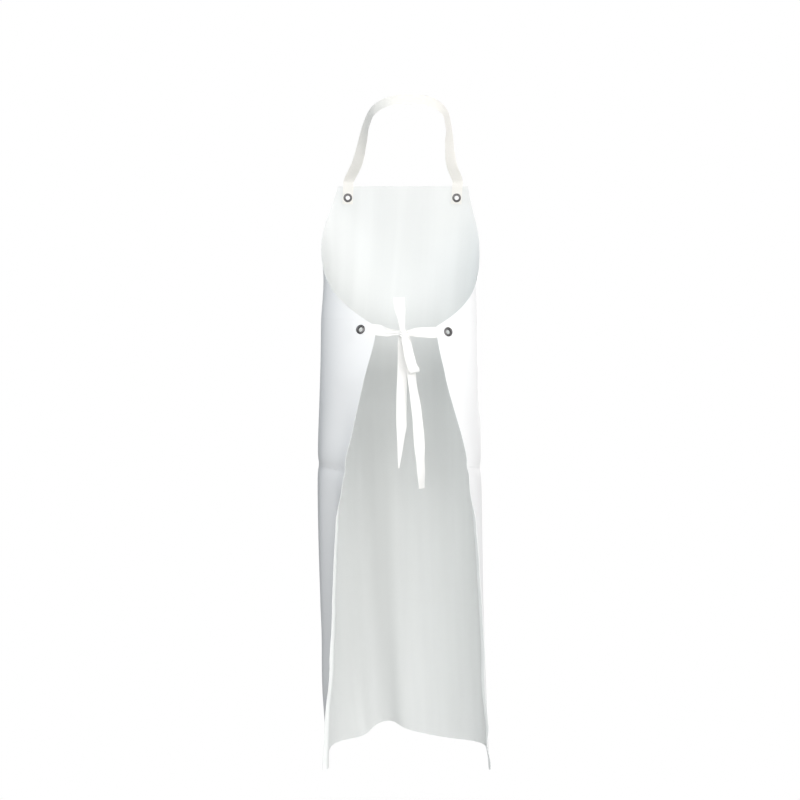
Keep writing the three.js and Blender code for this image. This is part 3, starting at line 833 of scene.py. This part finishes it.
def right_tie_knots(bow):
    """The right tie: clamp, run, behind and over the knot, lower loop and square tail."""
    at = places_from(bow)
    lean = np.array((-0.8, -0.45, 0.2))
    low = -KNOT_EDGE
    return [
        inner_knot("waist_right", TAPE_END_MARGIN, 0, True),
        inner_knot("waist_right", 0, 0, True),
        inner_knot("waist_right", -15, 0, True),
        inner_knot("waist_right", -27, -1, True, 1.0),
        (at(-27, -1, 1), Z_UP, 0.84, 0.2),
        (at(-13, -2.0, 0), Z_UP, 0.58, 0.5),
        (at(-3, -5.2, -2.0), Z_UP, 0.44, 0.5),
        (at(4.5, -4.4, -2.6), Z_UP, 0.44, 0.5),
        (at(6.6, 1.5, -2.2), Z_UP, 0.44, 0.5),
        (at(3.5, 7.4, -2.2), Z_UP, 0.44, 0.6),
        (at(-2.0, 8.2, -4.8), np.array((-0.5, 0, 0.85)), 0.5, 0.6),
        (at(-5.0, 8.4, -12.5), np.array((-0.85, -0.3, 0.35)), 0.7, 0.5),
        (at(-8.2, 10, -25), lean, 0.88, 0.3),
        (at(-11.8, 12, -41), lean, 1.0, 0.1),
        (at(-17.0, 12, -59), lean, 1.0, 0.0),
        (at(-21.5, 10.5, -68), lean, 1.0, 0.0),
        (at(-21.0, 6.5, -71), lean, 1.0, 0.0),
        (at(-17.5, 4.0, -62), lean, 1.0, 0.0),
        (at(-12.5, 3.6, -42), lean, 0.95, 0.1),
        (at(-8.5, 3.2, -22), lean, 0.66, 0.3),
        (at(-5.0, 2.0, low + 1.0), X_RIGHT, 0.45, 0.5),
        (at(-2.5, 0.0, low + 7.0), X_RIGHT, 0.4, 0.5),
        (at(-3.8, -2.6, low + 4.5), X_RIGHT, 0.42, 0.5),
        (at(-7.5, -2.6, low - 1.0), X_RIGHT, 0.55, 0.5),
        (at(-12.5, -1.8, low - 0.13 * RIGHT_TAIL_LENGTH), np.array((-0.85, -0.5, 0)), 0.9, 0.2),
        (at(-17.6, -1, low - 0.29 * RIGHT_TAIL_LENGTH), np.array((-0.75, -0.65, 0)), 1.0, 0.0),
        (at(-25.4, -1, low - 0.5 * RIGHT_TAIL_LENGTH), np.array((-0.88, -0.48, 0)), 1.0, 0.0),
        (at(-29.5, 0, low - 0.68 * RIGHT_TAIL_LENGTH), np.array((-0.96, -0.25, 0)), 1.0, 0.0),
        (at(-32.6, 0.6, low - 0.85 * RIGHT_TAIL_LENGTH), np.array((-0.72, -0.7, 0)), 1.0, 0.0),
        (at(-34, 1, low - RIGHT_TAIL_LENGTH), np.array((-0.55, -0.83, 0)), 1.0, 0.0),
    ]


# Neck tape on one side of the nape: sideways share, y, z, slide share, across direction.
STRAP_SIDE = (
    (0.47, -4, -2, 0.9, (0.1, -0.35, 0.94)),
    (0.83, -25, -12, 0.85, (0.25, -0.5, 0.85)),
    (1.0, -60, -30, 0.7, (0.45, -0.5, 0.75)),
    (1.09, -95, -60, 0.45, (0.75, -0.35, 0.5)),
    (1.2, -125, -95, 0.2, (0.95, -0.1, 0.2)),
)


def neck_tape_knots():
    """The neck tape: clamped inside the bib, over the nape and back."""
    def side(sign, name):
        ends = [inner_knot(name, 0, dv, False) for dv in (-TAPE_END_MARGIN, 0, 14, 24, 31)]
        ends = [(p, a * sign, s, w) for p, a, s, w in ends]
        neck = [
            (
                np.array((sign * x * NECK_HALF_WIDTH + slide * NECK_SLIDE, y, z)),
                np.array((sign * a[0], a[1], a[2])), 1.0, 0.0,
            )
            for x, y, z, slide, a in STRAP_SIDE
        ]
        return ends + neck[::-1]
    nape = (np.array((NECK_SLIDE, 0.0, 0.0)), np.array((0, -0.3, 0.95)), 1.0, 0.0)
    return side(1, "bib_left") + [nape] + side(-1, "bib_right")[::-1]


def pointed(run, total):
    """Width share that narrows over the last part of a tape to a slanting point."""
    left = total - run
    return POINT_SHARE + (1 - POINT_SHARE) * np.clip(left / POINT_LENGTH, 0, 1) ** 0.9


# ---------------------------------------------------------------- settings

class ApronSheetSettings(bpy.types.PropertyGroup):
    """Sizes and colours of the coated sheet."""

    thickness: bpy.props.FloatProperty(
        name="Thickness", description="Thickness of the coated sheet", default=SHEET_THICKNESS * MM,
        min=0.0002, max=0.003, subtype="DISTANCE", unit="LENGTH")
    column_step: bpy.props.FloatProperty(
        name="Grid step", description="Spacing of the sheet's grid", default=0.0068,
        min=0.003, max=0.03, subtype="DISTANCE", unit="LENGTH")
    outer_colour: bpy.props.FloatVectorProperty(
        name="Outer colour", description="Colour of the coated face", default=(0.9, 0.905, 0.91),
        size=3, min=0, max=1, subtype="COLOR")
    inner_colour: bpy.props.FloatVectorProperty(
        name="Inner colour", description="Colour of the woven backing", default=(0.805, 0.82, 0.812),
        size=3, min=0, max=1, subtype="COLOR")
    outer_roughness: bpy.props.FloatProperty(
        name="Outer roughness", description="Roughness of the coated face", default=0.46,
        min=0.05, max=1, subtype="FACTOR")
    backing_pitch: bpy.props.FloatProperty(
        name="Backing pitch", description="Thread pitch of the backing", default=0.0011,
        min=0.0003, max=0.004, subtype="DISTANCE", unit="LENGTH")


class ApronTapeSettings(bpy.types.PropertyGroup):
    """Sizes and colour of the neck tape and waist ties."""

    width: bpy.props.FloatProperty(
        name="Width", description="Width of the tape", default=TAPE_WIDTH * MM,
        min=0.008, max=0.05, subtype="DISTANCE", unit="LENGTH")
    weave_pitch: bpy.props.FloatProperty(
        name="Weave pitch", description="Pitch of the herringbone", default=0.0012,
        min=0.0004, max=0.005, subtype="DISTANCE", unit="LENGTH")
    colour: bpy.props.FloatVectorProperty(
        name="Colour", description="Colour of the cotton", default=(0.883, 0.869, 0.828),
        size=3, min=0, max=1, subtype="COLOR")
    left_tie_length: bpy.props.FloatProperty(
        name="Left tie", description="Length of the left waist tie", default=0.476,
        min=0.3, max=1.5, subtype="DISTANCE", unit="LENGTH")
    right_tie_length: bpy.props.FloatProperty(
        name="Right tie", description="Length of the right waist tie", default=0.548,
        min=0.3, max=1.5, subtype="DISTANCE", unit="LENGTH")


class ApronMetalSettings(bpy.types.PropertyGroup):
    """Sizes and colour of the eyelets and washers."""

    flange_radius: bpy.props.FloatProperty(
        name="Flange radius", description="Outer radius of an eyelet", default=0.0085,
        min=0.004, max=0.02, subtype="DISTANCE", unit="LENGTH")
    wall: bpy.props.FloatProperty(
        name="Wall", description="Metal thickness", default=0.00045,
        min=0.0002, max=0.001, subtype="DISTANCE", unit="LENGTH")
    colour: bpy.props.FloatVectorProperty(
        name="Colour", description="Colour of the plating", default=(0.24, 0.23, 0.235),
        size=3, min=0, max=1, subtype="COLOR")


class ApronStageSettings(bpy.types.PropertyGroup):
    """Floor, light and camera."""

    floor_colour: bpy.props.FloatVectorProperty(
        name="Floor colour", description="Colour of the floor", default=(0.9, 0.9, 0.9),
        size=3, min=0, max=1, subtype="COLOR")
    floor_radius: bpy.props.FloatProperty(
        name="Floor radius", description="Radius at which the floor has faded out", default=0.95,
        min=0.5, max=20, subtype="DISTANCE", unit="LENGTH")
    key_power: bpy.props.FloatProperty(
        name="Key power", description="Power that the studio lights share", default=76.0,
        min=0, max=1000, unit="POWER")
    air_strength: bpy.props.FloatProperty(
        name="Air strength", description="Light that comes from the white surroundings", default=1.1,
        min=0, max=2)
    floor_drop: bpy.props.FloatProperty(
        name="Floor drop", description="Height of the nape above the floor", default=1.52,
        min=1.25, max=3, subtype="DISTANCE", unit="LENGTH")
    camera_distance: bpy.props.FloatProperty(
        name="Camera distance", description="Distance behind the nape", default=2.45,
        min=1, max=10, subtype="DISTANCE", unit="LENGTH")
    lens: bpy.props.FloatProperty(
        name="Lens", description="Focal length", default=60.8, min=20, max=200, unit="CAMERA")


# Soft lights: name, place, share of the key's power, colour.
STUDIO_LIGHTS = (
    ("back", (0.2, 3.4, 0.3), 0.55, (1.0, 0.99, 0.975)),
    ("back_right", (-1.7, 2.9, 0.2), 0.42, (1.0, 0.99, 0.98)),
    ("back_left", (1.5, 3.0, 0.3), 0.42, (0.97, 0.99, 1.0)),
    ("left", (1.7, 0.15, 1.1), 0.24, (0.82, 0.92, 1.0)),
    ("top", (0.0, 1.6, 2.2), 0.15, (1.0, 1.0, 1.0)),
    ("front", (-0.6, -3.4, 0.4), 0.9, (1.0, 0.99, 0.98)),
)
LIGHT_TARGET = (0, 0, -0.6)
LIGHT_SIZE = 2.0
# Light of the surroundings from the wearer's right, left, from below, and evenly from all round.
AIR_RIGHT = 0.88
AIR_LEFT = 0.05
AIR_BELOW = 0.3
AIR_EVEN = 0.05
CAMERA_ACROSS = 0.0055
CAMERA_DROP = 0.545


# ---------------------------------------------------------------- operators

class APRON_OT_stage(bpy.types.Operator):
    """Add the floor, the soft studio light and the camera behind the wearer"""

    bl_idname = "apron.stage"
    bl_label = "Stage"

    def execute(self, context):
        settings = context.scene.apron_stage
        deselect()
        bpy.ops.mesh.primitive_circle_add(
            vertices=96, radius=settings.floor_radius, fill_type="NGON",
            location=(0, 0, -settings.floor_drop),
        )
        floor = context.object
        floor.name = "studio_floor"
        floor.data.transform(floor.matrix_world)
        floor.matrix_world = Matrix.Identity(4)
        floor.data.materials.append(self.floor_material(settings))
        self.air(context, settings)
        for name, place, share, colour in STUDIO_LIGHTS:
            self.light(context, name, place, settings.key_power * share, colour)
        self.camera(context, settings)
        context.scene.view_settings.view_transform = "Standard"
        return {"FINISHED"}

    def floor_material(self, settings):
        """Pale floor that fades out towards its rim."""
        g = Graph("studio_floor")
        place = g.node("ShaderNodeTexCoord", None, None, out=3)
        reach = g.node("ShaderNodeVectorMath", {"operation": "LENGTH"}, {
            0: g.node("ShaderNodeMapping", None, {"Vector": place, "Scale": (1, 1, 0)}),
        }, out=1)
        cloud = g.noise(place, 1.5, 2.0)
        colour = settings.floor_colour
        return g.finish(
            Base_Color=g.mix(cloud, shade(colour, 1.0), shade(colour, 0.985)), Roughness=0.8,
            Alpha=1 - reach.ramp(settings.floor_radius * 0.35, settings.floor_radius * 0.98),
        )

    def air(self, context, settings):
        """White surroundings that light the apron mostly from the wearer's right and from below."""
        world = bpy.data.worlds.new("studio_air")
        context.scene.world = world
        g = Graph("studio_air", world)
        seen = g.node("ShaderNodeLightPath")
        across = g.node("ShaderNodeSeparateXYZ", None, {0: g.node("ShaderNodeTexCoord")})
        height = Wire(g, across.socket.node.outputs[2])
        side = (across * -1).at_least(0) * AIR_RIGHT + across.at_least(0) * AIR_LEFT
        below = (height * -1).at_least(0) * AIR_BELOW
        light = (side + below + AIR_EVEN) * settings.air_strength
        background = next(n for n in g.tree.nodes if n.type == "BACKGROUND")
        g.feed(background, {"Color": (1.0, 1.0, 1.0, 1.0), "Strength": seen + (1 - seen) * light})

    def light(self, context, name, place, power, colour):
        """A soft square light aimed at the middle of the apron."""
        deselect()
        bpy.ops.object.light_add(type="AREA", location=place)
        lamp = context.object
        lamp.name = "light_" + name
        lamp.data.size = LIGHT_SIZE
        lamp.data.energy = power
        lamp.data.color = colour
        direction = Vector(LIGHT_TARGET) - Vector(place)
        lamp.rotation_euler = direction.to_track_quat("-Z", "Y").to_euler()

    def camera(self, context, settings):
        """A level camera behind the wearer."""
        data = bpy.data.cameras.new("camera")
        data.lens = settings.lens
        data.clip_end = 100
        eye = bpy.data.objects.new("camera", data)
        context.scene.collection.objects.link(eye)
        eye.location = (CAMERA_ACROSS, settings.camera_distance, -CAMERA_DROP)
        eye.rotation_euler = (math.radians(90), 0, math.radians(180))
        context.scene.camera = eye


class APRON_OT_sheet(bpy.types.Operator):
    """Add the coated sheet as it hangs on the wearer"""

    bl_idname = "apron.sheet"
    bl_label = "Coated sheet"

    def execute(self, context):
        settings = context.scene.apron_sheet
        step = settings.column_step / MM
        columns = int(APRON_WIDTH / step)
        a = np.linspace(-1, 1, columns + 1)
        below = np.linspace(0, SIDE_HEIGHT, int(SIDE_HEIGHT / step) + 1)
        above = np.linspace(SIDE_HEIGHT, APRON_LENGTH, int(ARMHOLE_HEIGHT / 4.0) + 1)
        heights = np.concatenate([below, above[1:]])
        v = np.repeat(heights[:, None], columns + 1, axis=1)
        u = a[None, :] * half_width(heights)[:, None]
        points = worn(u, v).reshape(-1, 3)
        uvs = np.stack([u.ravel() * MM, v.ravel() * MM], -1)
        wide = columns + 1
        faces = [
            (r * wide + c, r * wide + c + 1, (r + 1) * wide + c + 1, (r + 1) * wide + c)
            for r in range(len(heights) - 1) for c in range(columns)
        ]
        sheet = mesh_object("apron_sheet_cloth", points, faces, uvs, "cut")
        sheet.data.materials.append(coated_material(settings))
        sheet.data.materials.append(backing_material(settings))
        add_modifier(
            sheet, "SOLIDIFY", thickness=settings.thickness, offset=0.0, use_even_offset=True,
            material_offset=1, material_offset_rim=1,
        )
        apply_modifiers(sheet)
        punch_holes(sheet, EYELETS)
        smooth_faces(sheet, 50)
        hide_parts("apron_sheet")
        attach(sheet, "apron")
        return {"FINISHED"}


class APRON_OT_neck_tape(bpy.types.Operator):
    """Add the neck tape from one bib eyelet round the nape to the other"""

    bl_idname = "apron.neck_tape"
    bl_label = "Neck tape"

    def execute(self, context):
        settings = context.scene.apron_tape
        tape, _ = ribbon("neck_tape", neck_tape_knots())
        punch_holes(tape, ("bib_left", "bib_right"))
        smooth_faces(tape, 60)
        tape.data.materials.append(tape_material(settings))
        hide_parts("neck_strap", "neck_strap_end_left", "neck_strap_end_right")
        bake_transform(tape)
        return {"FINISHED"}


class APRON_OT_waist_ties(bpy.types.Operator):
    """Add the two waist ties, tied in a bow at the back"""

    bl_idname = "apron.waist_ties"
    bl_label = "Waist ties"

    def execute(self, context):
        settings = context.scene.apron_tape
        bow = bow_centre()
        material = bpy.data.materials.get("cotton_tape") or tape_material(settings)
        ties = (
            ("left", left_tie_knots(bow), pointed, settings.left_tie_length,
             ("waist_tie_left", "bow_loop_upper", "tie_tail_left", "bow_knot")),
            ("right", right_tie_knots(bow), None, settings.right_tie_length,
             ("waist_tie_right", "bow_loop_lower", "tie_tail_right")),
        )
        for side, knots, taper, length, nodes in ties:
            tie, path = ribbon(f"tie_{side}", knots, taper=taper)
            punch_holes(tie, (f"waist_{side}",))
            smooth_faces(tie, 60)
            tie.data.materials.append(material)
            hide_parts(*nodes)
            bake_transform(tie)
            where = knots[1][0] * MM
        return {"FINISHED"}


TURNED_SIDES = 56
SAME_POINT = 1e-7
SAME_LEVEL = 1e-6
BEVEL_SHARE = 0.3
BEVEL_ANGLE = 50.0
# Height of an eyelet's rolled crown over its flange, and roughness of the platings.
CROWN = 0.00085
EYELET_ROUGHNESS = 0.22
WASHER_ROUGHNESS = 0.36
# Painted shade in metres: how far out from the bore, how far in from the rim, and its soft edge.
THROAT_SHADE = 0.0004
RIM_SHADE = 0.0018
SHADE_EDGE = 0.0008


def add_painted_shade(piece, radius):
    """Point attribute of painted shade that is 1 in the throat and at the rim, and 0 between them."""
    reaches = [math.hypot(vertex.co.x, vertex.co.y) for vertex in piece.data.vertices]
    outer = max(reaches)
    painted_shade = piece.data.attributes.new("painted_shade", "FLOAT", "POINT")
    for reach, point in zip(reaches, painted_shade.data):
        throat = 1 - min(1.0, max(0.0, (reach - radius - THROAT_SHADE) / SHADE_EDGE))
        rim = min(1.0, max(0.0, (reach - outer + RIM_SHADE) / SHADE_EDGE))
        point.value = max(throat, rim)


def turned_piece(name, radius, low, high, upward, downward, wall):
    """A short tube whose top and bottom edges are drawn out through (radius, height) steps."""
    deselect()
    bpy.ops.mesh.primitive_cylinder_add(
        vertices=TURNED_SIDES, radius=radius, depth=high - low, end_fill_type="NOTHING",
        location=(0, 0, (low + high) / 2),
    )
    piece = bpy.context.object
    piece.name = name
    piece.data.transform(piece.matrix_world)
    piece.matrix_world = Matrix.Identity(4)
    bpy.ops.object.mode_set(mode="EDIT")
    bpy.ops.mesh.select_mode(type="VERT")
    for level, steps in ((high, upward), (low, downward)):
        r, z = radius, level
        bpy.ops.mesh.select_all(action="DESELECT")
        edit = bmesh.from_edit_mesh(piece.data)
        for vertex in edit.verts:
            vertex.select = abs(vertex.co.z - level) < SAME_LEVEL
        edit.select_flush(True)
        bmesh.update_edit_mesh(piece.data)
        for next_r, next_z in steps:
            bpy.ops.mesh.extrude_edges_move(TRANSFORM_OT_translate={"value": (0, 0, next_z - z)})
            k = next_r / r
            bpy.ops.transform.resize(value=(k, k, 1), center_override=(0, 0, next_z))
            r, z = next_r, next_z
    bpy.ops.object.mode_set(mode="OBJECT")
    face_outwards(piece, SAME_POINT)
    add_modifier(piece, "SOLIDIFY", thickness=wall, offset=0.0)
    apply_modifiers(piece)
    add_modifier(
        piece, "BEVEL", width=wall * BEVEL_SHARE, segments=2, limit_method="ANGLE",
        angle_limit=math.radians(BEVEL_ANGLE),
    )
    apply_modifiers(piece)
    add_painted_shade(piece, radius)
    return piece


def place_copies(model, prefix, material):
    """Copies a turned piece to the four eyelet seats, each with its own mesh."""
    for name in EYELETS:
        copy = bpy.data.objects.new(f"{prefix}_{name}_metal", model.data.copy())
        bpy.context.scene.collection.objects.link(copy)
        copy.data.transform(seat_matrix(name))
        copy.data.materials.append(material)
        smooth_faces(copy, 40)
        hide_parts(f"{prefix}_{name}")
        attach(copy, "apron")
    bpy.data.objects.remove(model)


class APRON_OT_eyelets(bpy.types.Operator):
    """Add the four rolled eyelets"""

    bl_idname = "apron.eyelets"
    bl_label = "Eyelets"

    def execute(self, context):
        settings = context.scene.apron_metal
        wall = settings.wall
        bore = EYELET_BORE * MM + wall / 2
        rim = settings.flange_radius - wall / 2
        face = OUTER_FACE * MM + wall / 2
        foot = (WASHER_TOP - EYELET_FOOT) * MM
        upward = [
            (bore + 0.00012, face + CROWN * 0.72), (bore + 0.0004, face + CROWN * 0.95),
            (bore + 0.0009, face + CROWN * 1.08), (bore + 0.0016, face + CROWN * 1.05),
            (rim - 0.0011, face + CROWN * 0.72), (rim - 0.0004, face + CROWN * 0.4),
            (rim, face),
        ]
        downward = [
            (bore + 0.0001, foot - 0.0003), (bore + 0.00035, foot - 0.00048),
            (bore + 0.0008, foot - 0.0005), (bore + 0.0012, foot - 0.0003), (bore + 0.0013, foot),
        ]
        model = turned_piece("eyelet_model", bore, foot, face, upward, downward, wall)
        plating = metal_material("nickel_plate", settings.colour, EYELET_ROUGHNESS)
        place_copies(model, "eyelet", plating)
        return {"FINISHED"}


class APRON_OT_washers(bpy.types.Operator):
    """Add the four washers that clamp the tape ends inside"""

    bl_idname = "apron.washers"
    bl_label = "Washers"

    def execute(self, context):
        settings = context.scene.apron_metal
        wall = settings.wall
        hole = HOLE_RADIUS * MM
        rim = settings.flange_radius - wall / 2
        top = WASHER_TOP * MM - wall / 2
        foot = top - 0.0003
        downward = [
            (hole + 0.0004, foot - 0.0001), (hole + 0.0016, foot),
            (rim - 0.0006, top - 0.0001), (rim, top + 0.00005),
        ]
        model = turned_piece("washer_model", hole, foot, foot + 0.0002, [], downward, wall)
        plating = metal_material("washer_plate", settings.colour, WASHER_ROUGHNESS)
        place_copies(model, "washer", plating)
        return {"FINISHED"}


class APRON_PT_panel(bpy.types.Panel):
    """Settings and builders of the apron"""

    bl_label = "Butcher apron"
    bl_idname = "APRON_PT_panel"
    bl_space_type = "VIEW_3D"
    bl_region_type = "UI"
    bl_category = "Apron"

    def draw(self, context):
        for key in SETTINGS:
            group = getattr(context.scene, key)
            box = self.layout.box()
            for name in group.__annotations__:
                box.prop(group, name)
        for operator in OPERATORS:
            self.layout.operator(operator.bl_idname)


SETTINGS = {
    "apron_sheet": ApronSheetSettings,
    "apron_tape": ApronTapeSettings,
    "apron_metal": ApronMetalSettings,
    "apron_stage": ApronStageSettings,
}
OPERATORS = (
    APRON_OT_stage, APRON_OT_sheet, APRON_OT_neck_tape, APRON_OT_waist_ties, APRON_OT_eyelets,
    APRON_OT_washers,
)


def register():
    for cls in (*SETTINGS.values(), *OPERATORS, APRON_PT_panel):
        bpy.utils.register_class(cls)
    for key, cls in SETTINGS.items():
        setattr(bpy.types.Scene, key, bpy.props.PointerProperty(type=cls))


def unregister():
    for key in SETTINGS:
        delattr(bpy.types.Scene, key)
    for cls in (APRON_PT_panel, *reversed(OPERATORS), *reversed(tuple(SETTINGS.values()))):
        bpy.utils.unregister_class(cls)


def main():
    register()
    bpy.ops.apron.stage()
    bpy.ops.apron.sheet()
    bpy.ops.apron.neck_tape()
    bpy.ops.apron.waist_ties()
    bpy.ops.apron.eyelets()
    bpy.ops.apron.washers()


if __name__ == "__main__":
    main()
